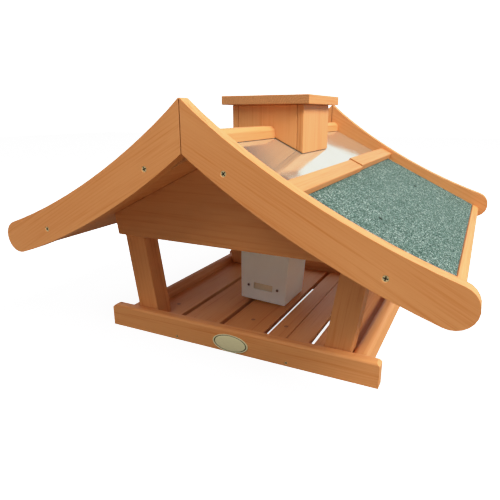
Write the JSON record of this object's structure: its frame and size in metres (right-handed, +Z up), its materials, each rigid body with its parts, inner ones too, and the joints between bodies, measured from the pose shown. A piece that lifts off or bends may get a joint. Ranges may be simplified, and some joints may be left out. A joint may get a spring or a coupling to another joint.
{
  "type": "bird feeder",
  "caption": "Wooden garden bird house: a slatted open tray on splayed posts under a wide curved gable roof, with a seed container filled through a chimney with a lift-off cap.",
  "frame": {"origin": "centre of the overall bounding box on the plane of the underside it rests on", "axes": "+Z up; X runs across the gables, along the front rail; -Y faces the front gable, which carries the badge below it; the ridge runs along Y"},
  "size_m": [0.665, 0.6, 0.3793],
  "materials": {
    "stained_wood": "planed pine with a warm orange-brown stain, satin",
    "inner_wood": "planed pine with the same stain, darker and matt",
    "mineral_felt": "bitumen roofing felt covered in green mineral granules, rough",
    "polished_sheet": "polished metal sheet, mirror-like",
    "silo_plastic": "milky white plastic, slightly translucent, satin",
    "plate_plastic": "grey-beige plastic, matt",
    "zinc_screws": "zinc-plated steel",
    "brass_screws": "yellow-passivated screw heads with a cross recess",
    "badge_enamel": "green-gold lacquered metal with a raised rim, blank"
  },
  "bodies": {
    "house": {"front_rail": "stained_wood", "rear_rail": "stained_wood", "left_side_rail": "stained_wood", "right_side_rail": "stained_wood", "front_left_post": "stained_wood", "front_right_post": "stained_wood", "rear_left_post": "stained_wood", "rear_right_post": "stained_wood", "front_gable_panel": "stained_wood", "rear_gable_panel": "stained_wood", "left_eaves_strip": "stained_wood", "right_eaves_strip": "stained_wood", "left_front_mid_batten": "stained_wood", "left_rear_mid_batten": "stained_wood", "right_front_mid_batten": "stained_wood", "right_rear_mid_batten": "stained_wood", "front_ridge_batten": "stained_wood", "rear_ridge_batten": "stained_wood", "chimney_front_board": "stained_wood", "chimney_rear_board": "stained_wood", "chimney_left_board": "stained_wood", "chimney_right_board": "stained_wood", "front_left_bargeboard": "stained_wood", "front_right_bargeboard": "stained_wood", "rear_left_bargeboard": "stained_wood", "rear_right_bargeboard": "stained_wood", "floor_board_1": "inner_wood", "floor_board_2": "inner_wood", "floor_board_3": "inner_wood", "floor_board_4": "inner_wood", "floor_board_5": "inner_wood", "floor_board_6": "inner_wood", "front_floor_cleat": "inner_wood", "rear_floor_cleat": "inner_wood", "left_roof_board": "inner_wood", "right_roof_board": "inner_wood", "left_roof_felt": "mineral_felt", "right_roof_felt": "mineral_felt", "left_ridge_sheet": "polished_sheet", "right_ridge_sheet": "polished_sheet", "seed_silo": "silo_plastic", "front_outlet_plate": "plate_plastic", "rear_outlet_plate": "plate_plastic", "silo_screw_1": "zinc_screws", "silo_screw_2": "zinc_screws", "silo_screw_3": "zinc_screws", "silo_screw_4": "zinc_screws", "rail_screw_1": "zinc_screws", "rail_screw_2": "zinc_screws", "bargeboard_screw_1": "brass_screws", "bargeboard_screw_2": "brass_screws", "bargeboard_screw_3": "brass_screws", "bargeboard_screw_4": "brass_screws", "bargeboard_screw_5": "brass_screws", "bargeboard_screw_6": "brass_screws", "bargeboard_screw_7": "brass_screws", "bargeboard_screw_8": "brass_screws", "oval_badge": "badge_enamel"},
    "cap": {"chimney_cap": "stained_wood", "cap_locating_block": "inner_wood"}
  },
  "joints": [
    {"name": "cap_lift", "type": "slide", "parent": "house", "child": "cap", "axis": [0, 0, 1], "range_m": [0, 0.12]}
  ]
}
